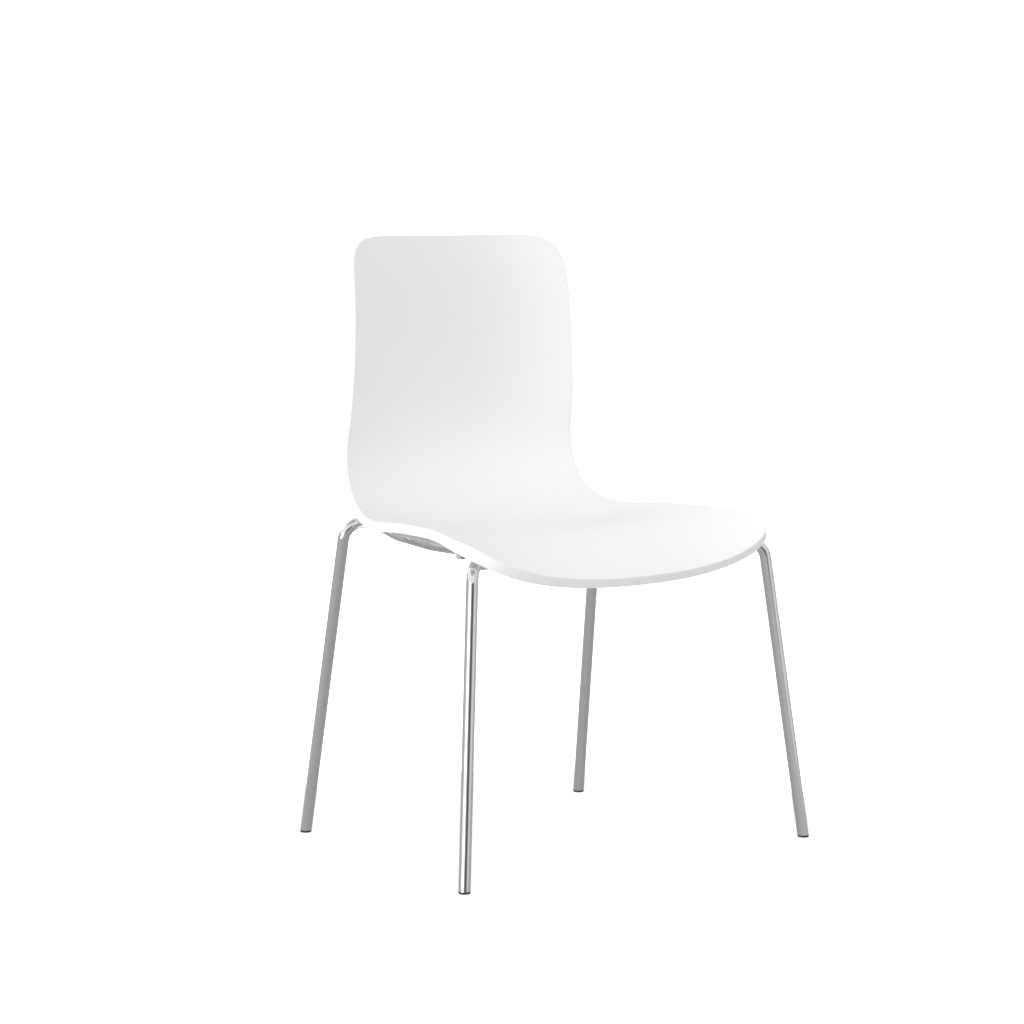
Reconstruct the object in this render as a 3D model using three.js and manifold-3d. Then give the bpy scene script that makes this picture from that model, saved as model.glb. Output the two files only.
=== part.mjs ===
// Stacking chair: a one-piece moulded plastic shell on a frame of four bent chromed tubes.
// Millimetres, +Z up, front of the chair towards -Y. The origin is on the floor, under the
// middle of the chair's box.
import * as THREE from 'three';
import { mergeVertices } from 'three/addons/utils/BufferGeometryUtils.js';
import { ParametricGeometry } from 'three/addons/geometries/ParametricGeometry.js';
import Module from 'manifold-3d';

const wasm = await Module();
wasm.setup();

// ---------------------------------------------------------------- driving dimensions

const ORIGIN_Y = 3.7; // the box's middle, measured from the frame's own datum plane
const GAP = 0.3; // clearance left at faces that touch

// Centreline of the shell's sitting face as [y, z], from the front lip to the top of the back.
const CENTRELINE = [
  [-221, 390.5], [-205, 400.5], [-180, 413.5], [-150, 426], [-110, 437.5], [-60, 443],
  [0, 440], [55, 435], [100, 435.5], [140, 444], [175, 465], [199, 500],
  [212.8, 545], [216, 600], [216, 660], [216.6, 720], [219, 780], [226, 840],
];
// Cross sections of the shell: [distance along the centreline, half width, rise of the edge
// above the centreline, power of the dish curve].
const SECTIONS = [
  [0, 260.5, 38, 2.8], [50, 260.5, 32.5, 2.8], [90, 259, 24, 2.7], [124, 253.5, 19, 2.6],
  [180, 244.5, 15.5, 2.5], [235, 236, 18, 2.4], [280, 229, 19.5, 2.4], [320, 222.5, 19, 2.4],
  [350, 216, 18.5, 2.4], [375, 210.5, 18.3, 2.4], [400, 207, 19, 2.3], [430, 204, 20.5, 2.2],
  [460, 201.5, 22.5, 2.2], [500, 199, 28.5, 2.2], [550, 196.5, 38, 2.2], [600, 194, 42, 2.2],
  [650, 191.5, 42.5, 2.2], [700, 189.5, 41, 2.2], [750, 188, 37, 2.2], [798, 187, 33, 2.2],
];
// The outline where it leaves the straight-sided part, as [x, distance along the centreline].
const FRONT_EDGE = [
  [0, 0], [50, 1], [90, 3], [145, 8], [172, 12], [198.4, 18], [226.8, 29], [248.3, 47], [258, 72],
];
const TOP_EDGE = [
  [188.3, 730], [185.8, 754], [180.5, 771], [172, 782], [159, 790], [140, 795], [110, 797.3],
  [60, 798], [0, 798.1],
];
const WALL = 4; // shell wall
const RIM_DEPTH = 13; // depth of the turned-down rim
const RIM_WIDTH = 6; // thickness of the rim
const LIP_EXTRA = 3.5; // how much deeper the rim is along the front lip
const LIP_FADE = [40, 130]; // where the lip's extra depth fades out, along the centreline
const SHELL_CORE = [0, 390]; // middle of the ring pattern, as [x, distance along the centreline]

// Chromed tube.
const TUBE_R = 8;
const TUBE_BORE_R = 6.5;
const FRONT_FOOT = [294.8, -223.4];
const FRONT_SPLAY = [0.10425, -0.09725]; // outward run per mm of drop, in x and y
const FRONT_TOP_Z = 420;
const FRONT_BEND_R = 27;
const FRONT_CROSS = [[205, -142, 415], [70, -136, 411]]; // waypoints of the cross run
const REAR_FOOT = [245.6, 225.1];
const REAR_SPLAY = [0.05, 0.16125];
const REAR_TOP_Z = 449;
const REAR_BEND_R = 26;
const REAR_CROSS = [[60, 124, 420.5]];
const CROSS_BEND_R = 90;
const RAIL = [
  [174, 144, 440.4], [183, 84, 431.5], [214, -40, 431.5], [206, -88, 430], [170, -140.4, 414],
];
const RAIL_BEND_R = [110, 60, 40];
const ARC_STEP = THREE.MathUtils.degToRad(14); // turn of a bend between two rings

// Fixing points of the shell, as [x, y] on the right-hand side.
const FRONT_FIXING = [184, -42];
const REAR_FIXING = [158, 78];
const TAB_Z = 427; // underside of the fixing tabs
const TAB_T = 3;
const TAB_LENGTH = 44;
const TAB_WIDTH = 26;
const TAB_OFFSET = 8; // middle of the tab from its screw, towards the rail
const BOSS_R = 10;
const FRONT_BOSS_TOP = 447.5; // level inside the wall where a boss ends
const REAR_BOSS_TOP = 440.3;
const INSERT_R = 4.5;
const INSERT_L = 9;
const SCREW_R = 2.9;
const WASHER_T = 1.2;
const HEAD_R = 5.25;
const HEAD_H = 3;

// Stacking bumpers and glides.
const BUMPER = { size: [9, 12], bottom: 419.5, front: [218, -111.5], rear: [178, 30] };
const GLIDE_H = 3; // visible height of the black glide
const PLUG_R = 6.1;
const PLUG_L = 22;

// ---------------------------------------------------------------- materials

const polypropylene = () =>
  new THREE.MeshStandardMaterial({ color: 0xf2f2f0, roughness: 0.45, metalness: 0 });
const chrome = () =>
  new THREE.MeshStandardMaterial({ color: 0xd8dadc, roughness: 0.06, metalness: 1 });
const zincSteel = () =>
  new THREE.MeshStandardMaterial({ color: 0xb4b6b8, roughness: 0.35, metalness: 1 });
const brass = () =>
  new THREE.MeshStandardMaterial({ color: 0xb08d45, roughness: 0.4, metalness: 1 });
const greyPlastic = () =>
  new THREE.MeshStandardMaterial({ color: 0x9b9c9e, roughness: 0.55, metalness: 0 });
const blackPlastic = () =>
  new THREE.MeshStandardMaterial({ color: 0x161617, roughness: 0.5, metalness: 0 });

// ---------------------------------------------------------------- solids

const v3 = (x, y, z) => new THREE.Vector3(x, y, z);

// A closed geometry as a manifold solid, with collapsed triangles left out and faces outwards.
function solid(geometry) {
  const bare = geometry.clone();
  bare.deleteAttribute('normal');
  bare.deleteAttribute('uv');
  const merged = mergeVertices(bare, 1e-3);
  const index = merged.index.array;
  const triangles = [];
  for (let i = 0; i < index.length; i += 3) {
    const [a, b, c] = [index[i], index[i + 1], index[i + 2]];
    if (a !== b && b !== c && c !== a) triangles.push(a, b, c);
  }
  const vertProperties = merged.attributes.position.array;
  const make = (list) =>
    new wasm.Manifold(
      new wasm.Mesh({ numProp: 3, vertProperties, triVerts: new Uint32Array(list) }),
    );
  const made = make(triangles);
  return made.volume() > 0 ? made : make(triangles.reverse());
}

function geometryOf(body) {
  const mesh = body.getMesh();
  const geometry = new THREE.BufferGeometry();
  geometry.setAttribute(
    'position',
    new THREE.BufferAttribute(new Float32Array(mesh.vertProperties), 3),
  );
  geometry.setIndex(new THREE.BufferAttribute(new Uint32Array(mesh.triVerts), 1));
  geometry.computeVertexNormals();
  return geometry;
}

const group = new THREE.Group();

function addPart(name, body, material) {
  const mesh = new THREE.Mesh(geometryOf(body), material);
  mesh.name = name;
  group.add(mesh);
}

const SIDES = [['left', -1], ['right', 1]];

// ---------------------------------------------------------------- shell surface

// Natural cubic spline through [t, value] pairs.
function spline(ts, vs) {
  const n = ts.length;
  const bend = new Array(n).fill(0);
  const upper = new Array(n).fill(0);
  const rest = new Array(n).fill(0);
  for (let i = 1; i < n - 1; i += 1) {
    const h0 = ts[i] - ts[i - 1];
    const h1 = ts[i + 1] - ts[i];
    const kink = 6 * ((vs[i + 1] - vs[i]) / h1 - (vs[i] - vs[i - 1]) / h0);
    const pivot = 2 * (h0 + h1) - h0 * upper[i - 1];
    upper[i] = h1 / pivot;
    rest[i] = (kink - h0 * rest[i - 1]) / pivot;
  }
  for (let i = n - 2; i > 0; i -= 1) bend[i] = rest[i] - upper[i] * bend[i + 1];
  return (t) => {
    let i = 0;
    while (i < n - 2 && t > ts[i + 1]) i += 1;
    const h = ts[i + 1] - ts[i];
    const d = t - ts[i];
    const slope = (vs[i + 1] - vs[i]) / h - (h * (2 * bend[i] + bend[i + 1])) / 6;
    return vs[i] + d * slope + (d * d * bend[i]) / 2 + (d ** 3 * (bend[i + 1] - bend[i])) / (6 * h);
  };
}

// Running length of a polyline of 2-D points.
function runningLength(points) {
  const lengths = [0];
  for (let i = 1; i < points.length; i += 1) {
    const step = Math.hypot(points[i][0] - points[i - 1][0], points[i][1] - points[i - 1][1]);
    lengths.push(lengths[i - 1] + step);
  }
  return lengths;
}

const column = (table, k) => table.map((row) => row[k]);

const centreLength = runningLength(CENTRELINE);
const centreY = spline(centreLength, column(CENTRELINE, 0));
const centreZ = spline(centreLength, column(CENTRELINE, 1));
const halfWidth = spline(column(SECTIONS, 0), column(SECTIONS, 1));
const edgeRise = spline(column(SECTIONS, 0), column(SECTIONS, 2));
const dishPower = spline(column(SECTIONS, 0), column(SECTIONS, 3));

// The sitting face at x, a distance s along the centreline.
function facePoint(x, s) {
  const step = 0.5;
  const dy = centreY(s + step) - centreY(s - step);
  const dz = centreZ(s + step) - centreZ(s - step);
  const length = Math.hypot(dy, dz);
  const rise = edgeRise(s) * (Math.abs(x) / halfWidth(s)) ** dishPower(s);
  return v3(x, centreY(s) - (dz / length) * rise, centreZ(s) + (dy / length) * rise);
}

function faceNormal(x, s) {
  const step = 0.5;
  const across = facePoint(x + step, s).sub(facePoint(x - step, s));
  const along = facePoint(x, s + step).sub(facePoint(x, s - step));
  return across.cross(along).normalize();
}

// The point a given depth under the sitting face.
const underFace = (x, s, depth) => facePoint(x, s).addScaledVector(faceNormal(x, s), -depth);

const sides = SECTIONS.slice(2, -2).map(([s, w]) => [w, s]);
const halfOutline = [...FRONT_EDGE, ...sides, ...TOP_EDGE];
const outlineLength = runningLength(halfOutline);
const outlineX = spline(outlineLength, column(halfOutline, 0));
const outlineS = spline(outlineLength, column(halfOutline, 1));

const halfLength = outlineLength[outlineLength.length - 1];
const edgeS = (t) => outlineS(t < 0 ? -t : Math.min(t, 2 * halfLength - t));

function edgeX(t) {
  if (t < 0) return -outlineX(-t);
  return t > halfLength ? -outlineX(2 * halfLength - t) : outlineX(t);
}

// The outline at u from 0 to 1, up the right edge from the front lip and down the left one,
// with the direction that points into the shell.
function outlineAt(u) {
  const sign = u <= 0.5 ? 1 : -1;
  const t = (u <= 0.5 ? 2 * u : 2 - 2 * u) * halfLength;
  const dx = edgeX(t + 0.5) - edgeX(t - 0.5);
  const ds = edgeS(t + 0.5) - edgeS(t - 0.5);
  const length = Math.hypot(dx, ds);
  return {
    x: sign * edgeX(t),
    s: edgeS(t),
    inX: (-sign * ds) / length,
    inS: dx / length,
  };
}

// Section of the shell from the middle of the sitting face, over the rim, to the middle of the
// underside: [share of the way from the core to the rim line, inset from the outline, depth].
function shellSection() {
  const rows = [];
  const rings = 13;
  for (let i = 0; i < rings; i += 1) rows.push([i / rings, 7, 0]);
  rows.push([1, 7, 0], [1, 1.6, 0], [1, 0.4, 0.5], [1, 0, 1.8]);
  rows.push([1, 0, RIM_DEPTH - 2.4], [1, 0.8, RIM_DEPTH - 0.7], [1, 2.4, RIM_DEPTH]);
  rows.push([1, RIM_WIDTH - 0.8, RIM_DEPTH], [1, RIM_WIDTH, RIM_DEPTH - 0.8]);
  rows.push([1, RIM_WIDTH + 0.2, WALL + 2.5], [1, RIM_WIDTH + 2.5, WALL]);
  const underRings = 10;
  for (let i = underRings - 1; i >= 0; i -= 1) rows.push([i / underRings, RIM_WIDTH + 3, WALL]);
  return rows;
}

function shellBody() {
  const section = shellSection();
  const last = section.length - 1;
  const place = (u, v, target) => {
    const row = THREE.MathUtils.clamp(v, 0, 1) * last;
    const i = Math.min(Math.floor(row), last - 1);
    const share = row - i;
    const [ring, inset, depth] = section[i].map((a, k) => a + (section[i + 1][k] - a) * share);
    const edge = outlineAt(THREE.MathUtils.clamp(u, 0, 1));
    const x = SHELL_CORE[0] + (edge.x + edge.inX * inset - SHELL_CORE[0]) * ring;
    const s = SHELL_CORE[1] + (edge.s + edge.inS * inset - SHELL_CORE[1]) * ring;
    const extra = depth > WALL + 3 ? LIP_EXTRA * (1 - THREE.MathUtils.smoothstep(s, ...LIP_FADE)) : 0;
    target.copy(underFace(x, s, depth + extra));
  };
  return solid(new ParametricGeometry(place, 84, last));
}

// ---------------------------------------------------------------- bent tubes

// A run of straight lines with rounded corners, sampled at its corners' arcs only.
class BentRun extends THREE.Curve {
  constructor(points, radii) {
    super();
    this.knots = [];
    this.headings = [];
    const heading = (a, b) => b.clone().sub(a).normalize();
    this.push(points[0], heading(points[0], points[1]));
    for (let i = 1; i < points.length - 1; i += 1) {
      const before = heading(points[i], points[i - 1]);
      const after = heading(points[i], points[i + 1]);
      const half = before.angleTo(after) / 2;
      const radius = radii[i - 1];
      const middle = before.clone().add(after).normalize();
      const centre = points[i].clone().addScaledVector(middle, radius / Math.sin(half));
      const start = points[i].clone().addScaledVector(before, radius / Math.tan(half));
      const axis = after.clone().cross(before).normalize();
      const arcSteps = Math.ceil((Math.PI - 2 * half) / ARC_STEP);
      for (let k = 0; k <= arcSteps; k += 1) {
        const turn = ((Math.PI - 2 * half) * k) / arcSteps;
        const spoke = start.clone().sub(centre).applyAxisAngle(axis, turn);
        const ahead = before.clone().negate().applyAxisAngle(axis, turn);
        this.push(centre.clone().add(spoke), ahead);
      }
    }
    const n = points.length;
    this.push(points[n - 1], heading(points[n - 2], points[n - 1]));
  }

  push(point, direction) {
    this.knots.push(point.clone());
    this.headings.push(direction.clone());
  }

  get steps() {
    return this.knots.length - 1;
  }

  // Knots are evenly spaced in the parameter, so a whole number of steps lands on them.
  getUtoTmapping(u) {
    return u;
  }

  getPoint(t, target = new THREE.Vector3()) {
    const k = Math.min(Math.floor(t * this.steps + 1e-6), this.steps - 1);
    return target.lerpVectors(this.knots[k], this.knots[k + 1], t * this.steps - k);
  }

  getTangent(t, target = new THREE.Vector3()) {
    return target.copy(this.headings[Math.round(t * this.steps)]);
  }
}

function polygon(radius, count) {
  const points = [];
  for (let i = 0; i < count; i += 1) {
    const a = (2 * Math.PI * (i + 0.5)) / count;
    points.push(new THREE.Vector2(radius * Math.cos(a), radius * Math.sin(a)));
  }
  return points;
}

function sweep(run, radius, count, boreRadius = 0, boreCount = 10) {
  const shape = new THREE.Shape(polygon(radius, count));
  if (boreRadius > 0) shape.holes.push(new THREE.Path(polygon(boreRadius, boreCount)));
  return solid(new THREE.ExtrudeGeometry(shape, { steps: run.steps, extrudePath: run }));
}

const tubeOf = (run) => sweep(run, TUBE_R, 18, TUBE_BORE_R);
const roomFor = (run) => sweep(run, TUBE_R + GAP, 18);

// Everything lower than a level, as a cutting block.
function blockBelow(level) {
  const box = new THREE.BoxGeometry(900, 900, 200);
  box.translate(0, 0, level - 100);
  return solid(box);
}

// The axis of a leg at a height, for a side of -1 or 1.
function legPoint(side, foot, splay, z) {
  return v3(side * (foot[0] - splay[0] * z), foot[1] - splay[1] * z, z);
}

const frontLeg = (side, z) => legPoint(side, FRONT_FOOT, FRONT_SPLAY, z);
const rearLeg = (side, z) => legPoint(side, REAR_FOOT, REAR_SPLAY, z);

// An inverted U: up one leg, across under the shell, and down the other leg.
function hoopRun(leg, topZ, bendRadius, cross) {
  const waypoint = (side) => ([x, y, z]) => v3(side * x, y, z);
  const points = [
    leg(-1, -12),
    leg(-1, topZ),
    ...cross.map(waypoint(-1)),
    ...cross.map(waypoint(1)).reverse(),
    leg(1, topZ),
    leg(1, -12),
  ];
  const inner = new Array(2 * cross.length).fill(CROSS_BEND_R);
  return new BentRun(points, [bendRadius, ...inner, bendRadius]);
}

const frontRun = hoopRun(frontLeg, FRONT_TOP_Z, FRONT_BEND_R, FRONT_CROSS);
const rearRun = hoopRun(rearLeg, REAR_TOP_Z, REAR_BEND_R, REAR_CROSS);
const railRun = (side) =>
  new BentRun(RAIL.map(([x, y, z]) => v3(side * x, y, z)), RAIL_BEND_R);

function addFrame() {
  const floor = blockBelow(GLIDE_H + GAP);
  addPart('front_leg_hoop', tubeOf(frontRun).subtract(floor), chrome());
  addPart('rear_leg_hoop', tubeOf(rearRun).subtract(floor), chrome());
  for (const [word, side] of SIDES) {
    const rail = tubeOf(railRun(side)).subtract(roomFor(frontRun)).subtract(roomFor(rearRun));
    addPart(`${word}_side_rail`, rail, chrome());
  }
}

// ---------------------------------------------------------------- turned and flat parts

// A solid of revolution about Z from [radius, z] pairs that start and end on the axis, or that
// close on themselves.
function turned(profile, count = 24) {
  const points = profile.map(([r, z]) => new THREE.Vector2(r, z));
  return solid(new THREE.LatheGeometry(points, count).rotateX(Math.PI / 2));
}

const cylinder = (r, z0, z1, count) => turned([[0, z0], [r, z0], [r, z1], [0, z1]], count);

function ring(inner, outer, z0, z1, count) {
  return turned([[inner, z0], [outer, z0], [outer, z1], [inner, z1], [inner, z0]], count);
}

function roundedRectangle(width, depth, radius) {
  const [w, d] = [width / 2, depth / 2];
  const shape = new THREE.Shape();
  shape.absarc(w - radius, d - radius, radius, 0, Math.PI / 2);
  shape.absarc(radius - w, d - radius, radius, Math.PI / 2, Math.PI);
  shape.absarc(radius - w, radius - d, radius, Math.PI, 1.5 * Math.PI);
  shape.absarc(w - radius, radius - d, radius, 1.5 * Math.PI, 2 * Math.PI);
  shape.closePath();
  return shape;
}

function slab(shape, z0, z1) {
  const options = { depth: z1 - z0, bevelEnabled: false, curveSegments: 4 };
  const geometry = new THREE.ExtrudeGeometry(shape, options);
  geometry.translate(0, 0, z0);
  return solid(geometry);
}

// Fixing points of the shell with their names.
function fixings() {
  const list = [];
  for (const [word, side] of SIDES) {
    list.push({ name: `front_${word}`, side, at: [side * FRONT_FIXING[0], FRONT_FIXING[1]] });
    list.push({ name: `rear_${word}`, side, at: [side * REAR_FIXING[0], REAR_FIXING[1]] });
  }
  return list;
}

const BOSS_Z = TAB_Z + TAB_T + GAP; // underside of the bosses

// Shell with its four fixing bosses, each with a blind pocket for a threaded insert.
function addShell() {
  let shell = shellBody();
  for (const { at } of fixings()) {
    const reach = at[1] > 0 ? REAR_BOSS_TOP : FRONT_BOSS_TOP;
    const boss = turned([[0, BOSS_Z], [BOSS_R - 0.8, BOSS_Z], [BOSS_R, BOSS_Z + 0.8],
      [BOSS_R, reach], [0, reach]], 28);
    shell = shell.add(boss.translate([at[0], at[1], 0]));
  }
  for (const { at } of fixings()) {
    const pocket = cylinder(INSERT_R + GAP, BOSS_Z - 1, BOSS_Z + INSERT_L + GAP, 20);
    shell = shell.subtract(pocket.translate([at[0], at[1], 0]));
  }
  addPart('seat_shell', shell, polypropylene());
}

// Threaded insert, steel tab, washer and button-head screw of each fixing.
function addFixings() {
  for (const { name, side, at } of fixings()) {
    const move = [at[0], at[1], 0];
    const insert = ring(SCREW_R + GAP, INSERT_R, BOSS_Z, BOSS_Z + INSERT_L, 20);
    addPart(`${name}_insert`, insert.translate(move), brass());

    const outline = roundedRectangle(TAB_LENGTH, TAB_WIDTH, 7);
    const holeX = -side * TAB_OFFSET;
    outline.holes.push(new THREE.Path().absarc(holeX, 0, SCREW_R + 0.4, 0, 2 * Math.PI, true));
    const tab = slab(outline, TAB_Z, TAB_Z + TAB_T).translate([at[0] - holeX, at[1], 0]);
    const trimmed = largest(tab.subtract(roomFor(railRun(side))));
    addPart(`${name}_fixing_tab`, trimmed, chrome());

    const washerTop = TAB_Z - GAP;
    const washer = ring(SCREW_R + GAP, HEAD_R + 1.2, washerTop - WASHER_T, washerTop, 24);
    addPart(`${name}_washer`, washer.translate(move), zincSteel());

    const headTop = washerTop - WASHER_T - GAP;
    addPart(`${name}_screw`, screw(headTop).translate(move), zincSteel());
  }
}

// The biggest of the bodies that a cut leaves.
function largest(body) {
  return body.decompose().reduce((a, b) => (b.volume() > a.volume() ? b : a));
}

// Button-head screw with a hexagon socket, head down, its bearing face at headTop.
function screw(headTop) {
  const tip = BOSS_Z + INSERT_L - 1;
  const body = turned([[0, headTop - HEAD_H], [2.8, headTop - HEAD_H],
    [4.4, headTop - HEAD_H + 0.9], [HEAD_R, headTop - 0.9], [HEAD_R, headTop],
    [SCREW_R, headTop], [SCREW_R, tip - 0.8], [SCREW_R - 0.8, tip], [0, tip]], 24);
  const socket = new THREE.CylinderGeometry(2.25, 2.25, 4, 6).rotateX(Math.PI / 2);
  socket.translate(0, 0, headTop - HEAD_H);
  return body.subtract(solid(socket));
}

// Grey bumpers under the shell that keep a stacked chair's frame off this one.
function addBumpers() {
  for (const [word, side] of SIDES) {
    for (const place of ['front', 'rear']) {
      const [x, y] = BUMPER[place];
      const shape = roundedRectangle(BUMPER.size[0], BUMPER.size[1], 2);
      const post = slab(shape, BUMPER.bottom, 460).translate([side * x, y, 0]);
      addPart(`${place}_${word}_stack_bumper`, largest(post.subtract(shellRoom)), greyPlastic());
    }
  }
}

// A glide: a black plug in the tube's bore with a round foot cut level with the floor.
function addGlides() {
  for (const [place, leg] of [['front', frontLeg], ['rear', rearLeg]]) {
    for (const [word, side] of SIDES) {
      const plugEnd = leg(side, PLUG_L);
      const plug = new BentRun([leg(side, 1), plugEnd], []);
      const foot = new BentRun([leg(side, -12), leg(side, 12)], []);
      const floor = blockBelow(0);
      const above = blockBelow(0).translate([0, 0, 200 + GLIDE_H]);
      const body = sweep(foot, TUBE_R, 24).subtract(above).subtract(floor);
      addPart(`${place}_${word}_glide`, body.add(sweep(plug, PLUG_R, 14)), blackPlastic());
    }
  }
}

// The shell lowered by the gap, for trimming what stands under it.
const shellRoom = shellBody().translate([0, 0, -GAP]);

addShell();
addFrame();
addFixings();
addBumpers();
addGlides();

for (const mesh of group.children) mesh.position.y = -ORIGIN_Y;

export default group;
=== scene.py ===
"""Stacking chair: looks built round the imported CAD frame.

Metres, +Z up, front of the chair towards -Y. Lengths in the tables are millimetres, measured
from the chair frame's own datum plane, and mm() and place() turn them into the row frame.
"""

import math

import bmesh
import bpy
import numpy as np
from mathutils import Matrix, Vector


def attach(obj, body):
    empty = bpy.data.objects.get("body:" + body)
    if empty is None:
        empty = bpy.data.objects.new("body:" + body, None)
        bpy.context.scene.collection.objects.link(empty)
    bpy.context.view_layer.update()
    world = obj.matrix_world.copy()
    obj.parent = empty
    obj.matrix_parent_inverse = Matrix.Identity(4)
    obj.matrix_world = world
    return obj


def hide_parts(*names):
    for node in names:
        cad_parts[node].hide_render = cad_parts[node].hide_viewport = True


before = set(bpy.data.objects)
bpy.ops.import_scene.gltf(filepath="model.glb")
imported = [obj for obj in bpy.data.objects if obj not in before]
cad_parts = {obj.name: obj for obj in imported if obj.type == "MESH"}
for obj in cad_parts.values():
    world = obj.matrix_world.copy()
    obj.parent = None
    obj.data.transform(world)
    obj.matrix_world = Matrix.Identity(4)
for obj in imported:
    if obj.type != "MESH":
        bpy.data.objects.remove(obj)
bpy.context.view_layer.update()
scene = bpy.context.scene
scene.view_settings.view_transform = "Standard"

# ---------------------------------------------------------------- sizes

ORIGIN_Y = 3.7  # the box's middle, from the datum plane

# Centreline of the sitting face as (y, z), from the front lip to the top of the back.
CENTRELINE = [
    (-221, 390.5), (-205, 400.5), (-180, 413.5), (-150, 426), (-110, 437.5), (-60, 443),
    (0, 440), (55, 435), (100, 435.5), (140, 444), (175, 465), (199, 500),
    (212.8, 545), (216, 600), (216, 660), (216.6, 720), (219, 780), (226, 840),
]
# Cross sections: distance along the centreline, half width, rise of the edge, power.
SECTIONS = [
    (0, 260.5, 38, 2.8), (50, 260.5, 32.5, 2.8), (90, 259, 24, 2.7), (124, 253.5, 19, 2.6),
    (180, 244.5, 15.5, 2.5), (235, 236, 18, 2.4), (280, 229, 19.5, 2.4),
    (320, 222.5, 19, 2.4), (350, 216, 18.5, 2.4), (375, 210.5, 18.3, 2.4), (400, 207, 19, 2.3),
    (430, 204, 20.5, 2.2), (460, 201.5, 22.5, 2.2), (500, 199, 28.5, 2.2),
    (550, 196.5, 38, 2.2), (600, 194, 42, 2.2), (650, 191.5, 42.5, 2.2), (700, 189.5, 41, 2.2),
    (750, 188, 37, 2.2), (798, 187, 33, 2.2),
]
# The outline beyond the straight-sided part: x, distance along the centreline.
FRONT_EDGE = [
    (0, 0), (50, 1), (90, 3), (145, 8), (172, 12), (198.4, 18), (226.8, 29), (248.3, 47),
    (258, 72),
]
TOP_EDGE = [
    (188.3, 730), (185.8, 754), (180.5, 771), (172, 782), (159, 790), (140, 795),
    (110, 797.3), (60, 798), (0, 798.1),
]
WALL = 4
RIM_DEPTH = 13  # depth of the turned-down rim
RIM_WIDTH = 6
LIP_EXTRA = 3.5  # how much deeper the rim is along the front lip
LIP_FADE = (40, 130)  # where that extra depth fades out, along the centreline
SHELL_CORE_S = 390  # middle of the ring pattern, along the centreline

TUBE_R = 8
FRONT_FOOT, FRONT_SPLAY, FRONT_TOP_Z, FRONT_BEND_R = (294.8, -223.4), (0.10425, -0.09725), 420, 27
FRONT_CROSS = [(205, -142, 415), (70, -136, 411)]
REAR_FOOT, REAR_SPLAY, REAR_TOP_Z, REAR_BEND_R = (245.6, 225.1), (0.05, 0.16125), 449, 26
REAR_CROSS = [(60, 124, 420.5)]
CROSS_BEND_R = 90
RAIL = [
    (174, 144, 440.4), (183, 84, 431.5), (214, -40, 431.5), (206, -88, 430),
    (170, -140.4, 414),
]
RAIL_BEND_R = [110, 60, 40]

FRONT_FIXING = (184, -42)
REAR_FIXING = (158, 78)
TAB_Z, TAB_T = 427, 3  # underside and thickness of the fixing tabs
GAP = 0.3  # clearance at faces that touch
BOSS_Z = TAB_Z + TAB_T + GAP
BOSS_R = 10
FRONT_BOSS_TOP, REAR_BOSS_TOP = 447.5, 440.3  # levels inside the wall where the bosses end
POCKET_R, POCKET_L = 4.8, 9.3  # pocket for the threaded insert
SCREW_R, SCREW_TIP = 2.9, BOSS_Z + 8
HEAD_R, HEAD_H, SOCKET_R = 5.25, 3, 2.25
WASHER_T, WASHER_R = 1.2, 6.45
WELD_R = 1.7
GLIDE_H = 3
TUBE_END = GLIDE_H + 0.1
ON_AXIS = 0.01  # the smallest ring of a turned piece
CREASE = 30  # degrees at which the edges of small parts stay sharp

SIDES = {"left": -1, "right": 1}


def mm(*values):
    return Vector(values) / 1000


def place(x, y, z):
    """A point of the tables in the row frame."""
    return mm(x, y - ORIGIN_Y, z)


# ---------------------------------------------------------------- camera, lights and floor

CAM_AZIMUTH = math.radians(-36.99)
CAM_ELEVATION = math.radians(6)
CAM_TARGET = place(-49.2, 0.4, 461.9)
CAM_DISTANCE = 4.329
CAM_SENSOR, CAM_LENS = 36, 110.18


def bearing(azimuth, elevation):
    """Unit vector from the chair towards an azimuth and elevation in radians."""
    across = math.cos(elevation)
    return Vector(
        (math.sin(azimuth) * across, -math.cos(azimuth) * across, math.sin(elevation))
    )


def add_camera():
    data = bpy.data.cameras.new("camera")
    data.sensor_width = CAM_SENSOR
    data.lens = CAM_LENS
    data.clip_end = 100
    camera = bpy.data.objects.new("camera", data)
    back = bearing(CAM_AZIMUTH, CAM_ELEVATION)
    camera.location = CAM_TARGET + back * CAM_DISTANCE
    camera.rotation_euler = (-back).to_track_quat("-Z", "Y").to_euler()
    scene.collection.objects.link(camera)
    scene.camera = camera


# The studio round the chair, as bands of light from straight below to straight above. Each band
# fades in over the one under it between two elevations, and holds tones at azimuths from the
# camera, positive to its right. All angles are in degrees.
STUDIO = {
    "nadir": (None, None, [(-180, 1.2), (180, 1.2)]),
    "ground": (-60, -44, [(-180, 0.38), (-90, 0.38), (-20, 0.42), (60, 0.36), (180, 0.38)]),
    "apron": (-20, -6, [(-180, 0.50), (-90, 0.47), (0, 0.50), (90, 0.46), (180, 0.50)]),
    "low": (-4, -1.5, [
        (-180, 0.50), (-106, 0.45), (-74, 0.62), (-60, 1.0), (-51, 2.0), (-46, 4.2), (-31, 4.2),
        (-25, 1.4), (-20, 1.0), (-11, 0.62), (-2, 0.28), (6, 0.12), (21, 0.10), (31, 0.2),
        (44, 0.56), (58, 0.80), (74, 0.70), (106, 0.52), (180, 0.50),
    ]),
    "mid": (13, 20, [
        (-180, 1.05), (-135, 1.3), (-90, 1.05), (-45, 1.0), (0, 0.9), (45, 0.85), (90, 0.6),
        (135, 1.1), (180, 1.05),
    ]),
    "top": (42, 60, [
        (-180, 0.6), (-60, 0.55), (0, 0.4), (60, 0.4), (120, 0.5), (180, 0.6),
    ]),
}
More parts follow.
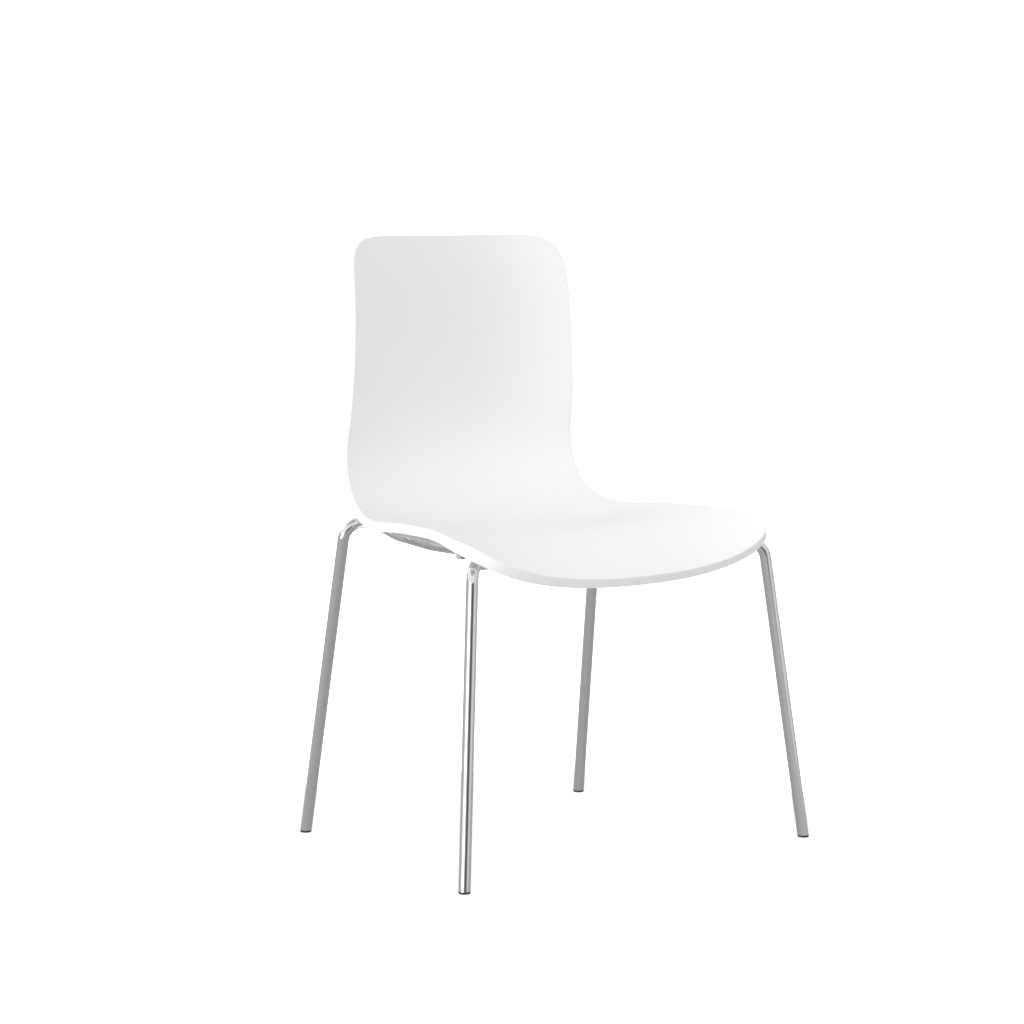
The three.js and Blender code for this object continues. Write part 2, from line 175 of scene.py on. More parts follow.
# Soft boxes for the shell only, which the chrome doesn't mirror: azimuth from the camera and
# elevation in degrees, power in watts.
SOFT_BOXES = {"left": (-60, 5, 112), "right": (50, 30, 48), "front": (10, 35, 5)}
SOFT_BOX_SIZE = 2
SOFT_BOX_DISTANCE = 4
SOFT_BOX_AIM = mm(0, 0, 500)

BACKDROP_GLOW = 1.0
FLOOR_RADIUS, WALL_CURVE, WALL_TOP = 14, 2, 9  # of the backdrop, in metres


def add_world():
    world = bpy.data.worlds.new("studio")
    scene.world = world
    world.use_nodes = True
    tree = world.node_tree
    tree.nodes.clear()
    link = tree.links.new

    def node(kind, **settings):
        made = tree.nodes.new(kind)
        for key, value in settings.items():
            setattr(made, key, value)
        return made

    coords = node("ShaderNodeTexCoord")
    turn = node("ShaderNodeVectorRotate", rotation_type="Z_AXIS")
    turn.inputs["Angle"].default_value = -CAM_AZIMUTH
    link(coords.outputs["Generated"], turn.inputs["Vector"])
    parts = node("ShaderNodeSeparateXYZ")
    link(turn.outputs["Vector"], parts.inputs["Vector"])
    front = node("ShaderNodeMath", operation="MULTIPLY")
    link(parts.outputs["Y"], front.inputs[0])
    front.inputs[1].default_value = -1
    angle = node("ShaderNodeMath", operation="ARCTAN2")
    link(parts.outputs["X"], angle.inputs[0])
    link(front.outputs[0], angle.inputs[1])
    share = node("ShaderNodeMapRange")
    link(angle.outputs[0], share.inputs["Value"])
    share.inputs["From Min"].default_value = -math.pi
    share.inputs["From Max"].default_value = math.pi
    below = None
    for name, (start, stop, band) in STUDIO.items():
        tones = node("ShaderNodeValToRGB", name=name)
        ramp = tones.color_ramp
        for index, (azimuth, tone) in enumerate(band):
            spot = (azimuth + 180) / 360
            stop_at = ramp.elements[index] if index < 2 else ramp.elements.new(spot)
            stop_at.position = spot
            stop_at.color = (tone, tone, tone, 1)
        link(share.outputs["Result"], tones.inputs["Fac"])
        if below is None:
            below = tones.outputs["Color"]
            continue
        height = node("ShaderNodeMapRange", interpolation_type="SMOOTHSTEP")
        link(parts.outputs["Z"], height.inputs["Value"])
        height.inputs["From Min"].default_value = math.sin(math.radians(start))
        height.inputs["From Max"].default_value = math.sin(math.radians(stop))
        mix = node("ShaderNodeMix", data_type="RGBA")
        link(height.outputs["Result"], mix.inputs["Factor"])
        link(below, mix.inputs["A"])
        link(tones.outputs["Color"], mix.inputs["B"])
        below = mix.outputs["Result"]
    glow = node("ShaderNodeBackground")
    link(below, glow.inputs["Color"])
    link(glow.outputs["Background"], node("ShaderNodeOutputWorld").inputs["Surface"])


def add_soft_boxes():
    for name, (azimuth, elevation, power) in SOFT_BOXES.items():
        data = bpy.data.lights.new(name, "AREA")
        data.shape = "SQUARE"
        data.size = SOFT_BOX_SIZE
        data.energy = power
        lamp = bpy.data.objects.new(name, data)
        out = bearing(CAM_AZIMUTH + math.radians(azimuth), math.radians(elevation))
        lamp.location = SOFT_BOX_AIM + out * SOFT_BOX_DISTANCE
        lamp.rotation_euler = (-out).to_track_quat("-Z", "Y").to_euler()
        lamp.visible_glossy = False
        scene.collection.objects.link(lamp)


def add_backdrop():
    """White floor with a curved rise to a white wall all round. It is there to be stood on and
    looked at: the studio's light passes it."""
    profile = [(0.5, 0), (FLOOR_RADIUS, 0)]
    for a in np.linspace(0.1, 1.57, 12):
        profile.append((FLOOR_RADIUS + WALL_CURVE * math.sin(a), WALL_CURVE * (1 - math.cos(a))))
    profile.append((FLOOR_RADIUS + WALL_CURVE, WALL_TOP))
    bm = bmesh.new()
    rings = []
    for radius, z in profile:
        ring = [bearing(2 * math.pi * k / 96, 0) * radius for k in range(96)]
        rings.append([bm.verts.new((p.x, p.y, z)) for p in ring])
    bridge(bm, rings, caps=False)
    bm.faces.new(rings[0])
    data = bpy.data.meshes.new("backdrop")
    bm.to_mesh(data)
    bm.free()
    data.shade_smooth()
    backdrop = bpy.data.objects.new("backdrop", data)
    material = bpy.data.materials.new("backdrop_white")
    material.use_nodes = True
    shader = material.node_tree.nodes["Principled BSDF"]
    shader.inputs["Base Color"].default_value = (0.9, 0.9, 0.9, 1)
    shader.inputs["Roughness"].default_value = 0.9
    shader.inputs["Emission Color"].default_value = (1, 1, 1, 1)
    shader.inputs["Emission Strength"].default_value = BACKDROP_GLOW
    data.materials.append(material)
    backdrop.visible_glossy = backdrop.visible_diffuse = backdrop.visible_shadow = False
    scene.collection.objects.link(backdrop)


# ---------------------------------------------------------------- materials

class Paint:
    """A Principled material with small helpers for its node tree."""

    def __init__(self, name, **values):
        self.material = bpy.data.materials.new(name)
        self.material.use_nodes = True
        self.tree = self.material.node_tree
        self.shader = self.tree.nodes["Principled BSDF"]
        for socket, value in values.items():
            self.shader.inputs[socket.replace("_", " ")].default_value = value
        self.coords = self.node("ShaderNodeTexCoord").outputs["Object"]
        self.normal = None

    def node(self, kind, **settings):
        made = self.tree.nodes.new(kind)
        for key, value in settings.items():
            setattr(made, key, value)
        return made

    def link(self, source, target):
        self.tree.links.new(source, target)

    def noise(self, size, detail=2.0, rough=0.5, stretch=(1, 1, 1)):
        """Noise whose features are about size metres across."""
        mapping = self.node("ShaderNodeMapping")
        mapping.inputs["Scale"].default_value = stretch
        self.link(self.coords, mapping.inputs["Vector"])
        made = self.node("ShaderNodeTexNoise")
        made.inputs["Scale"].default_value = 1 / size
        made.inputs["Detail"].default_value = detail
        made.inputs["Roughness"].default_value = rough
        self.link(mapping.outputs["Vector"], made.inputs["Vector"])
        return made.outputs["Fac"]

    def cells(self, size):
        made = self.node("ShaderNodeTexVoronoi", feature="F1")
        made.inputs["Scale"].default_value = 1 / size
        self.link(self.coords, made.inputs["Vector"])
        return made.outputs["Distance"]

    def ranged(self, value, low, high, to_low, to_high):
        made = self.node("ShaderNodeMapRange")
        self.link(value, made.inputs["Value"])
        for key, number in zip(
            ("From Min", "From Max", "To Min", "To Max"), (low, high, to_low, to_high)
        ):
            made.inputs[key].default_value = number
        return made.outputs["Result"]

    def colours(self, value, *stops):
        made = self.node("ShaderNodeValToRGB")
        ramp = made.color_ramp
        for index, (spot, colour) in enumerate(stops):
            stop = ramp.elements[index] if index < 2 else ramp.elements.new(spot)
            stop.position = spot
            stop.color = (*colour, 1)
        self.link(value, made.inputs["Fac"])
        return made.outputs["Color"]

    def total(self, a, b, share=1.0):
        made = self.node("ShaderNodeMath", operation="MULTIPLY_ADD")
        self.link(b, made.inputs[0])
        made.inputs[1].default_value = share
        self.link(a, made.inputs[2])
        return made.outputs[0]

    def bump(self, height, depth, strength=1.0):
        made = self.node("ShaderNodeBump")
        made.inputs["Distance"].default_value = depth
        made.inputs["Strength"].default_value = strength
        self.link(height, made.inputs["Height"])
        if self.normal is not None:
            self.link(self.normal, made.inputs["Normal"])
        self.normal = made.outputs["Normal"]

    def done(self, colour=None, roughness=None):
        if colour is not None:
            self.link(colour, self.shader.inputs["Base Color"])
        if roughness is not None:
            self.link(roughness, self.shader.inputs["Roughness"])
        if self.normal is not None:
            self.link(self.normal, self.shader.inputs["Normal"])
        return self.material


def white_polypropylene():
    """Spark-textured moulding: 0.45 mm grain, faint flow clouds, light rub marks."""
    paint = Paint("white_polypropylene", IOR=1.49, Subsurface_Weight=0.06)
    paint.shader.inputs["Subsurface Radius"].default_value = (0.003, 0.003, 0.003)
    paint.shader.inputs["Subsurface Scale"].default_value = 1.0
    clouds = paint.noise(0.16, 2)
    rubs = paint.noise(0.012, 5, 0.65, (1, 0.35, 1))
    colour = paint.colours(
        clouds, (0.3, (0.879, 0.880, 0.879)), (0.7, (0.884, 0.885, 0.883))
    )
    gloss = paint.total(clouds, rubs, 0.8)
    paint.bump(paint.total(paint.cells(0.00045), paint.noise(0.0009, 3), 0.7), 0.000018, 0.55)
    paint.bump(paint.noise(0.05, 1), 0.00008, 0.3)
    return paint.done(colour, paint.ranged(gloss, 0.6, 1.2, 0.38, 0.52))


def bright_chrome():
    """Plated tube: drawn lines in the steel under the plate, fingerprints and fine dust."""
    paint = Paint("bright_chrome", Metallic=1.0)
    smears = paint.noise(0.018, 4, 0.6)
    specks = paint.noise(0.0012, 2)
    colour = paint.colours(
        smears, (0.3, (0.80, 0.805, 0.815)), (0.7, (0.845, 0.85, 0.857))
    )
    rough = paint.ranged(paint.total(smears, specks, 0.25), 0.45, 0.85, 0.02, 0.055)
    paint.bump(paint.noise(0.006, 2, 0.5, (1, 1, 0.12)), 0.000006, 0.35)
    return paint.done(colour, rough)


def weld_chrome():
    """Plated weld bead, rippled and duller than the tube."""
    paint = Paint("weld_chrome", Metallic=1.0)
    pits = paint.noise(0.0011, 4, 0.6)
    colour = paint.colours(pits, (0.35, (0.50, 0.50, 0.51)), (0.65, (0.72, 0.725, 0.73)))
    paint.bump(pits, 0.0002, 0.6)
    return paint.done(colour, paint.ranged(pits, 0.3, 0.7, 0.30, 0.16))


def zinc_steel(tint=(0.66, 0.67, 0.68)):
    """Zinc plate: pale bluish crystals with a turned or rolled grain."""
    paint = Paint("zinc_steel", Metallic=1.0)
    crystals = paint.cells(0.0011)
    clouds = paint.noise(0.004, 4, 0.6)
    low = tuple(0.84 * c for c in tint)
    colour = paint.colours(paint.total(clouds, crystals, 0.25), (0.4, low), (0.75, tint))
    paint.bump(paint.total(crystals, paint.noise(0.0004, 2), 0.5), 0.00002, 0.5)
    return paint.done(colour, paint.ranged(clouds, 0.3, 0.7, 0.26, 0.42))


def machined_brass():
    """Turned brass with fine marks round its axis."""
    paint = Paint("machined_brass", Metallic=1.0)
    marks = paint.noise(0.0025, 3, 0.5, (1, 1, 6))
    colour = paint.colours(marks, (0.35, (0.55, 0.40, 0.16)), (0.7, (0.74, 0.58, 0.29)))
    paint.bump(marks, 0.00002, 0.5)
    return paint.done(colour, paint.ranged(marks, 0.3, 0.7, 0.24, 0.38))


def moulded(name, dark, pale, grain, roughness):
    """Small matt moulding with a fine grain, rubbed paler in places."""
    paint = Paint(name, IOR=1.47)
    rubs = paint.noise(0.004, 4, 0.65)
    colour = paint.colours(rubs, (0.42, dark), (0.78, pale))
    paint.bump(paint.total(paint.cells(grain), paint.noise(grain * 2, 2), 0.6), 0.00003, 0.5)
    return paint.done(colour, paint.ranged(rubs, 0.3, 0.75, roughness + 0.08, roughness - 0.06))


# ---------------------------------------------------------------- mesh helpers

def new_piece(name, bm, material, slot, *replaced, sharp=None):
    """Links a bmesh as a smooth-shaded piece that rides on the chair."""
    bmesh.ops.recalc_face_normals(bm, faces=bm.faces[:])
    data = bpy.data.meshes.new(name)
    bm.to_mesh(data)
    bm.free()
    data.shade_smooth()
    if sharp is not None:
        data.set_sharp_from_angle(angle=math.radians(sharp))
    data.materials.append(material)
    piece = bpy.data.objects.new(name, data)
    scene.collection.objects.link(piece)
    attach(piece, "root")
    if replaced:
        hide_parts(*replaced)
    return piece


def bridge(bm, rings, closed_run=False, caps=True):
    """Quads between rings of vertices of one length, with flat ends."""
    count = len(rings[0])
    pairs = list(zip(rings, rings[1:]))
    if closed_run:
        pairs.append((rings[-1], rings[0]))
    for lower, upper in pairs:
        for k in range(count):
            n = (k + 1) % count
            bm.faces.new((lower[k], lower[n], upper[n], upper[k]))
    if caps and not closed_run:
        bm.faces.new(rings[0][::-1])
        bm.faces.new(rings[-1])


def turned(bm, profile, centre, count=64, closed=False):
    """Revolves (radius, z) pairs in millimetres round a vertical line. A radius may be a
    function of the angle."""
    rings = []
    for radius, z in profile:
        ring = []
        for k in range(count):
            angle = 2 * math.pi * k / count
            r = radius(angle) if callable(radius) else radius
            spot = place(centre[0] + r * math.cos(angle), centre[1] + r * math.sin(angle), z)
            ring.append(bm.verts.new(spot))
        rings.append(ring)
    bridge(bm, rings, closed_run=closed)


def arc_points(middle, radius, start, stop, steps):
    """Points of an arc in a profile, angles in degrees."""
    made = []
    for k in range(steps + 1):
        angle = math.radians(start + (stop - start) * k / steps)
        made.append((middle[0] + radius * math.cos(angle), middle[1] + radius * math.sin(angle)))
    return made


# ---------------------------------------------------------------- shell

def spline(ts, vs):
    """Natural cubic spline through (t, value) pairs."""
    ts, vs = np.array(ts, float), np.array(vs, float)
    n = len(ts)
    matrix, right = np.zeros((n, n)), np.zeros(n)
    matrix[0, 0] = matrix[-1, -1] = 1
    for i in range(1, n - 1):
        h0, h1 = ts[i] - ts[i - 1], ts[i + 1] - ts[i]
        matrix[i, i - 1 : i + 2] = h0, 2 * (h0 + h1), h1
        right[i] = 6 * ((vs[i + 1] - vs[i]) / h1 - (vs[i] - vs[i - 1]) / h0)
    bend = np.linalg.solve(matrix, right)

    def value(t):
        t = np.asarray(t, float)
        i = np.clip(np.searchsorted(ts, t) - 1, 0, n - 2)
        h, d = ts[i + 1] - ts[i], t - ts[i]
        slope = (vs[i + 1] - vs[i]) / h - h * (2 * bend[i] + bend[i + 1]) / 6
        return vs[i] + d * slope + d**2 * bend[i] / 2 + d**3 * (bend[i + 1] - bend[i]) / (6 * h)

    return value


def running_length(points):
    steps = np.hypot(*np.diff(np.array(points, float), axis=0).T)
    return np.concatenate([[0], np.cumsum(steps)])


centre_length = running_length(CENTRELINE)
centre_y = spline(centre_length, [p[0] for p in CENTRELINE])
centre_z = spline(centre_length, [p[1] for p in CENTRELINE])
half_width, edge_rise, dish_power = (
    spline([row[0] for row in SECTIONS], [row[k] for row in SECTIONS]) for k in (1, 2, 3)
)


def face_point(x, s):
    """The sitting face at x, a distance s along the centreline."""
    dy = centre_y(s + 0.5) - centre_y(s - 0.5)
    dz = centre_z(s + 0.5) - centre_z(s - 0.5)
    length = np.hypot(dy, dz)
    rise = edge_rise(s) * (np.abs(x) / half_width(s)) ** dish_power(s)
    y, z = centre_y(s) - dz / length * rise, centre_z(s) + dy / length * rise
    return np.stack([x + 0 * y, y, z], -1)


def under_face(x, s, depth):
    """The point a given depth under the sitting face."""
    across = face_point(x + 0.5, s) - face_point(x - 0.5, s)
    along = face_point(x, s + 0.5) - face_point(x, s - 0.5)
    normal = np.cross(across, along)
    normal /= np.linalg.norm(normal, axis=-1, keepdims=True)
    return face_point(x, s) - normal * np.asarray(depth)[..., None]


half_outline = FRONT_EDGE + [(w, s) for s, w, _, _ in SECTIONS[2:-2]] + TOP_EDGE
outline_length = running_length(half_outline)
outline_x = spline(outline_length, [p[0] for p in half_outline])
outline_s = spline(outline_length, [p[1] for p in half_outline])


def outline(count):
    """Points round the outline, up the right edge and down the left, with the directions
    that point into the shell."""
    whole = outline_length[-1]

    def edge(t):
        back = t > whole
        inside = np.where(back, 2 * whole - t, np.abs(t))
        flip = np.where(back | (t < 0), -1.0, 1.0)
        return flip * outline_x(inside), outline_s(inside)

    u = np.arange(count) / count
    sign = np.where(u <= 0.5, 1.0, -1.0)
    t = np.where(u <= 0.5, 2 * u, 2 - 2 * u) * whole
    x, s = edge(t)
    (x1, s1), (x0, s0) = edge(t + 0.5), edge(t - 0.5)
    dx, ds = x1 - x0, s1 - s0
    length = np.hypot(dx, ds)
    return sign * x, s, -sign * ds / length, dx / length


def shell_section():
    """Ring share, inset and depth of each row, from the middle of the sitting face over the
    rim to the middle of the underside."""
    rows = [(k / 48, 9, 0) for k in range(1, 48)]
    rows += [(1, inset, 0) for inset in (9, 6.5, 4.5, 3, 2.1)]
    rows += [(1, i, d) for i, d in arc_points((1.5, 1.5), 1.5, -90, -180, 6)]
    rows += [(1, 0, d) for d in (3, 5, 7, 9)]
    rows += [(1, i, d) for i, d in arc_points((2.4, RIM_DEPTH - 2.4), 2.4, 180, 90, 8)]
    rows += [(1, i, d) for i, d in arc_points((RIM_WIDTH - 1, RIM_DEPTH - 1), 1, 90, 0, 5)]
    rows += [(1, RIM_WIDTH, d) for d in (10.5, 9)]
    fillet = arc_points((RIM_WIDTH + 3, WALL + 3), 3, 180, 270, 6)
    rows += [(1, i, d) for i, d in fillet]
    rows += [(1, RIM_WIDTH + 4.5, WALL)]
    rows += [(k / 40, RIM_WIDTH + 4.5, WALL) for k in range(39, 0, -1)]
    return rows


def fixings():
    """Name, side and place of the four fixing points."""
    for word, side in SIDES.items():
        yield f"front_{word}", side, (side * FRONT_FIXING[0], FRONT_FIXING[1])
        yield f"rear_{word}", side, (side * REAR_FIXING[0], REAR_FIXING[1])


def cutter(name, bm):
    """A bmesh as an object to add to a piece or cut out of it."""
    data = bpy.data.meshes.new(name)
    bmesh.ops.recalc_face_normals(bm, faces=bm.faces[:])
    bm.to_mesh(data)
    bm.free()
    made = bpy.data.objects.new(name, data)
    scene.collection.objects.link(made)
    return made


def apply_modifiers(piece):
    """Gives the piece its modified mesh and takes the modifiers off."""
    graph = bpy.context.evaluated_depsgraph_get()
    data = bpy.data.meshes.new_from_object(piece.evaluated_get(graph))
    data.name = piece.name
    piece.modifiers.clear()
    piece.data = data


def boolean(piece, operation, tool):
    modifier = piece.modifiers.new("cut", "BOOLEAN")
    modifier.operation = operation
    modifier.solver = "MANIFOLD"
    modifier.object = tool
    apply_modifiers(piece)
    bpy.data.objects.remove(tool)


def weld_close_points(piece, distance=0.00003):
    """Merges the sliver triangles that a cut leaves along its edge, and drops the pairs of
    faces that this folds onto each other."""
    bm = bmesh.new()
    bm.from_mesh(piece.data)
    bmesh.ops.remove_doubles(bm, verts=bm.verts[:], dist=distance)
    bmesh.ops.dissolve_degenerate(bm, edges=bm.edges[:], dist=distance / 3)
    bmesh.ops.triangulate(bm, faces=bm.faces[:])
    same_corners = {}
    for face in bm.faces:
        same_corners.setdefault(frozenset(face.verts), []).append(face)
    folded = [face for faces in same_corners.values() if len(faces) > 1 for face in faces]
    bmesh.ops.delete(bm, geom=folded, context="FACES")
    bm.to_mesh(piece.data)
    bm.free()


def add_shell(material):
    count = 420
    x, s, in_x, in_s = outline(count)
    rings = []
    bm = bmesh.new()
    for share, inset, depth in shell_section():
        rx = (x + in_x * inset) * share
        rs = SHELL_CORE_S + (s + in_s * inset - SHELL_CORE_S) * share
        if depth > RIM_DEPTH - 3:
            fade = np.clip((rs - LIP_FADE[0]) / (LIP_FADE[1] - LIP_FADE[0]), 0, 1)
            depth = depth + LIP_EXTRA * (1 - fade * fade * (3 - 2 * fade))
        points = under_face(rx, rs, depth + 0 * rs)
        rings.append([bm.verts.new(place(*p)) for p in points])
    bridge(bm, rings, caps=False)
    for ring, depth in ((rings[0], 0), (rings[-1], WALL)):
        middle = under_face(np.zeros(1), np.full(1, SHELL_CORE_S), np.full(1, depth))[0]
        core = bm.verts.new(place(*middle))
        for k in range(count):
            bm.faces.new((ring[k], ring[(k + 1) % count], core))
    shell = new_piece("shell_moulding", bm, material, "shell", "seat_shell")

    bosses = bmesh.new()
    pockets = bmesh.new()
    for _, _, at in fixings():
        reach = REAR_BOSS_TOP if at[1] > 0 else FRONT_BOSS_TOP
        profile = [(ON_AXIS, BOSS_Z)]
        profile += arc_points((BOSS_R - 0.8, BOSS_Z + 0.8), 0.8, -90, 0, 4)
        profile += [(BOSS_R + 0.1, reach - 1), (ON_AXIS, reach)]
        turned(bosses, profile, at)
        turned(pockets, [(POCKET_R, BOSS_Z - 2), (POCKET_R, BOSS_Z + POCKET_L)], at, 32)
    boolean(shell, "UNION", cutter("bosses", bosses))
    boolean(shell, "DIFFERENCE", cutter("pockets", pockets))
    weld_close_points(shell)
    shell.data.set_sharp_from_angle(angle=math.radians(48))


# ---------------------------------------------------------------- tubes

def bent_run(points, radii, arc_step=3.0):
    """Points of a run of straight lines with rounded corners."""
    made = [Vector(points[0])]
    for i in range(1, len(points) - 1):
        corner = Vector(points[i])
        before = (Vector(points[i - 1]) - corner).normalized()
        after = (Vector(points[i + 1]) - corner).normalized()
        half = before.angle(after) / 2
        radius = radii[i - 1]
        centre = corner + (before + after).normalized() * (radius / math.sin(half))
        start = corner + before * (radius / math.tan(half))
        axis = after.cross(before).normalized()
        turn = math.pi - 2 * half
        steps = max(2, math.ceil(math.degrees(turn) / arc_step))
        for k in range(steps + 1):
            spoke = Matrix.Rotation(turn * k / steps, 3, axis) @ (start - centre)
            made.append(centre + spoke)
    made.append(Vector(points[-1]))
    return made


def leg_point(side, foot, splay, z):
    """The axis of a leg at a height, for a side of -1 or 1."""
    return side * (foot[0] - splay[0] * z), foot[1] - splay[1] * z, z


def hoop_run(foot, splay, top_z, bend_r, cross):
    """An inverted U: up one leg, across under the shell, down the other leg."""
    points = [leg_point(-1, foot, splay, 0), leg_point(-1, foot, splay, top_z)]
    points += [(-x, y, z) for x, y, z in cross] + cross[::-1]
    points += [leg_point(1, foot, splay, top_z), leg_point(1, foot, splay, 0)]
    inner = [CROSS_BEND_R] * (2 * len(cross))
    return bent_run(points, [bend_r, *inner, bend_r])


def rail_run(side):
    return bent_run([(side * x, y, z) for x, y, z in RAIL], RAIL_BEND_R)


def ring_frames(run):
    """Tangent and two cross directions at each point, turned as little as possible."""
    frames = []
    last = None
    for i, point in enumerate(run):
        ahead = run[min(i + 1, len(run) - 1)] - point
        behind = point - run[max(i - 1, 0)]
        tangent = (ahead.normalized() + behind.normalized()).normalized()
        if last is None:
            last = tangent.orthogonal().normalized()
        across = (last - tangent * last.dot(tangent)).normalized()
        frames.append((tangent, across, tangent.cross(across)))
        last = across
    return frames


def add_tube(name, run, material, level=None, count=44):
    """A swept tube over the CAD one. With a level, its ends are cut flat at that height."""
    bm = bmesh.new()
    rings = []
    ends = (0, len(run) - 1)
    for i, (point, (tangent, across, up)) in enumerate(zip(run, ring_frames(run))):
        ring = []
        for k in range(count):
            angle = 2 * math.pi * k / count
            spot = point + (across * math.cos(angle) + up * math.sin(angle)) * TUBE_R
            if level is not None and i in ends:
                spot += tangent * ((level - spot.z) / tangent.z)
            ring.append(bm.verts.new(place(*spot)))
        rings.append(ring)
    bridge(bm, rings)
    new_piece(name + "_tube", bm, material, "chrome", name, sharp=50)


def bead(bm, loop, radius, ripple=0.18, pitch=1.6):
    """A weld bead round a closed line of points, rippled as it was laid."""
    rings = []
    count = len(loop)
    travelled = 0.0
    for i, point in enumerate(loop):
        behind = loop[i - 1]
        tangent = (loop[(i + 1) % count] - behind).normalized()
        travelled += (point - behind).length if i else 0
        swell = radius * (1 + ripple * math.sin(2 * math.pi * travelled / pitch))
        across = tangent.orthogonal().normalized()
        if rings:
            last = rings[-1][1]
            across = (last - tangent * last.dot(tangent)).normalized()
        up = tangent.cross(across)
        ring = []
        for k in range(10):
            angle = 2 * math.pi * k / 10
            ring.append(point + (across * math.cos(angle) + up * math.sin(angle)) * swell)
        rings.append((ring, across))
    made = [[bm.verts.new(place(*spot)) for spot in ring] for ring, _ in rings]
    bridge(bm, made, closed_run=True)


def distance_to_run(point, run):
    """Distance in millimetres from a point to a line of points."""
    best = 1e9
    for a, b in zip(run, run[1:]):
        along = b - a
        share = max(0.0, min(1.0, (point - a).dot(along) / along.length_squared))
        best = min(best, (point - a - along * share).length)
    return best


def joint_loop(end, direction, run):
    """Where a tube that starts at end and leaves along direction comes out of another tube."""
    across = direction.orthogonal().normalized()
    up = direction.cross(across)
    loop = []
    for k in range(72):
        angle = 2 * math.pi * k / 72
        offset = (across * math.cos(angle) + up * math.sin(angle)) * TUBE_R
        low, high = 0.0, 30.0
        for _ in range(24):
            middle = (low + high) / 2
            if distance_to_run(end + offset + direction * middle, run) < TUBE_R:
                low = middle
            else:
                high = middle
        loop.append(end + offset + direction * high)
    return loop


def add_welds(side_word, side, front_run, rear_run, material):
    """The beads where a side rail meets the two hoops."""
    bm = bmesh.new()
    rail = rail_run(side)
    for end, neighbour, run in ((rail[0], rail[1], rear_run), (rail[-1], rail[-2], front_run)):
        bead(bm, joint_loop(end, (neighbour - end).normalized(), run), WELD_R)
    new_piece(f"{side_word}_rail_welds", bm, material, "chrome")


# ---------------------------------------------------------------- small parts

def add_screw(name, at, material):
    """Button head with a hexagon socket, over the CAD screw."""
    top = TAB_Z - GAP - WASHER_T - GAP
    low = top - HEAD_H
    sector = math.pi / 3

    def hexagon(angle):
        return SOCKET_R * math.cos(sector / 2) / math.cos(angle % sector - sector / 2)

    bm = bmesh.new()
    profile = [(0.02, low + 1.75), (hexagon, low + 1.6), (hexagon, low + 0.15)]
    profile += [(lambda a: hexagon(a) + 0.25, low), (2.9, low)]
    profile += arc_points((HEAD_R - 2.35, low + 2.35), 2.35, -90, 0, 9)[1:]
    profile += [(HEAD_R, top - 0.15), (HEAD_R - 0.15, top), (SCREW_R, top)]
    profile += [(SCREW_R, SCREW_TIP - 0.8), (SCREW_R - 0.8, SCREW_TIP), (0.02, SCREW_TIP)]
    turned(bm, profile, at, 72)
    new_piece(f"{name}_button_screw", bm, material, "zinc_steel", f"{name}_screw", sharp=40)


def add_washer(name, at, material):
    """Plain washer with rounded lower edge, over the CAD washer."""
    top = TAB_Z - GAP
    low = top - WASHER_T
    inner, outer = SCREW_R + GAP, WASHER_R
    bm = bmesh.new()
    profile = [(inner, low + 0.1), (inner + 0.1, low)]
    profile += arc_points((outer - 0.35, low + 0.35), 0.35, -90, 0, 4)
    profile += [(outer, top - 0.1), (outer - 0.1, top), (inner + 0.1, top), (inner, top - 0.1)]
    turned(bm, profile, at, 64, closed=True)
    new_piece(f"{name}_plain_washer", bm, material, "zinc_steel", f"{name}_washer", sharp=50)


def bevel(node, width, segments=3):
    """Rounds the sharp edges of a CAD node."""
    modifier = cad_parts[node].modifiers.new("edge", "BEVEL")
    modifier.width = width
    modifier.segments = segments
    modifier.limit_method = "ANGLE"
    modifier.angle_limit = math.radians(CREASE)
    modifier.harden_normals = True


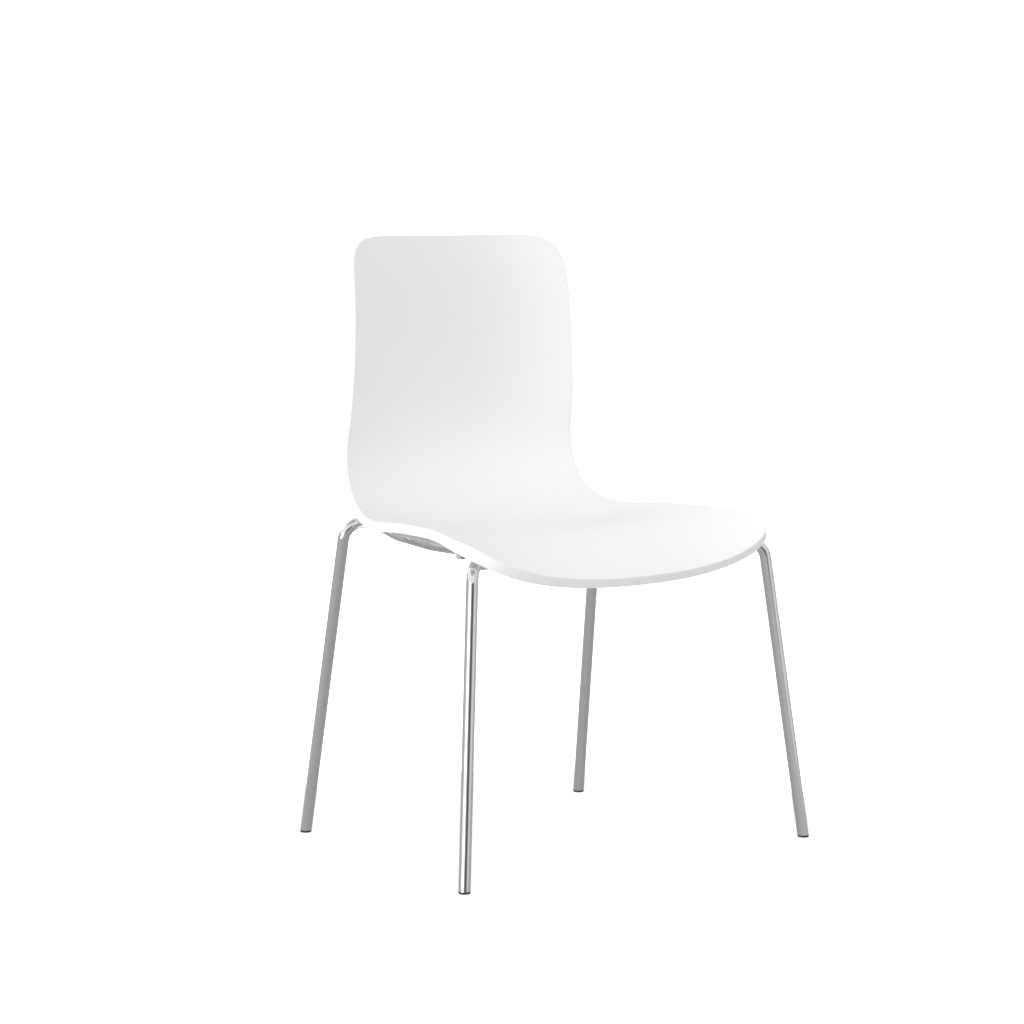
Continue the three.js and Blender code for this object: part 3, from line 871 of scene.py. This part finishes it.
def add_glide(name, foot, splay, side, material):
    """Round black foot under the tube, worn round at its lower edge."""
    bm = bmesh.new()
    rings = []
    for z, radius in ((0, 6.6), (0.15, 7.2), (0.5, 7.65), (1.0, TUBE_R - 0.05), (2.75, TUBE_R),
                      (GLIDE_H, TUBE_R - 0.15), (TUBE_END, 6.3), (14, 6.2)):
        x, y, _ = leg_point(side, foot, splay, z)
        stretch = Vector((side * splay[0], splay[1]))
        ring = []
        for k in range(56):
            angle = 2 * math.pi * k / 56
            out = Vector((math.cos(angle), math.sin(angle)))
            along = out.dot(stretch) / max(stretch.length, 1e-6)
            lengthen = stretch.length**2 / 2 * along
            spot = out * radius + stretch.normalized() * lengthen * radius
            ring.append(bm.verts.new(place(x + spot.x, y + spot.y, z)))
        rings.append(ring)
    bridge(bm, rings)
    new_piece(f"{name}_foot", bm, material, "black_plastic", name, sharp=55)


def repaint(node, material):
    """Gives a CAD node a new material and smooth shading between its creases."""
    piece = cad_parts[node]
    piece.data.materials.clear()
    piece.data.materials.append(material)
    piece.data.shade_smooth()
    piece.data.set_sharp_from_angle(angle=math.radians(CREASE))


# ---------------------------------------------------------------- the chair

add_camera()
add_world()
add_soft_boxes()
add_backdrop()

polypropylene = white_polypropylene()
chrome = bright_chrome()
welds = weld_chrome()
zinc = zinc_steel()
bumper_grey = moulded("bumper_grey", (0.34, 0.345, 0.35), (0.42, 0.425, 0.43), 0.0006, 0.55)
glide_black = moulded("glide_black", (0.018, 0.018, 0.019), (0.05, 0.05, 0.05), 0.0005, 0.48)
brass = machined_brass()

add_shell(polypropylene)
front_run = hoop_run(FRONT_FOOT, FRONT_SPLAY, FRONT_TOP_Z, FRONT_BEND_R, FRONT_CROSS)
rear_run = hoop_run(REAR_FOOT, REAR_SPLAY, REAR_TOP_Z, REAR_BEND_R, REAR_CROSS)
add_tube("front_leg_hoop", front_run, chrome, TUBE_END)
add_tube("rear_leg_hoop", rear_run, chrome, TUBE_END)
for word, side in SIDES.items():
    add_tube(f"{word}_side_rail", rail_run(side), chrome)
    add_welds(word, side, front_run, rear_run, welds)
    add_glide(f"front_{word}_glide", FRONT_FOOT, FRONT_SPLAY, side, glide_black)
    add_glide(f"rear_{word}_glide", REAR_FOOT, REAR_SPLAY, side, glide_black)
    for place_word in ("front", "rear"):
        repaint(f"{place_word}_{word}_stack_bumper", bumper_grey)
        bevel(f"{place_word}_{word}_stack_bumper", 0.0009)
for name, side, at in fixings():
    add_screw(name, at, zinc)
    add_washer(name, at, zinc)
    repaint(f"{name}_fixing_tab", chrome)
    bevel(f"{name}_fixing_tab", 0.0004, 2)
    repaint(f"{name}_insert", brass)
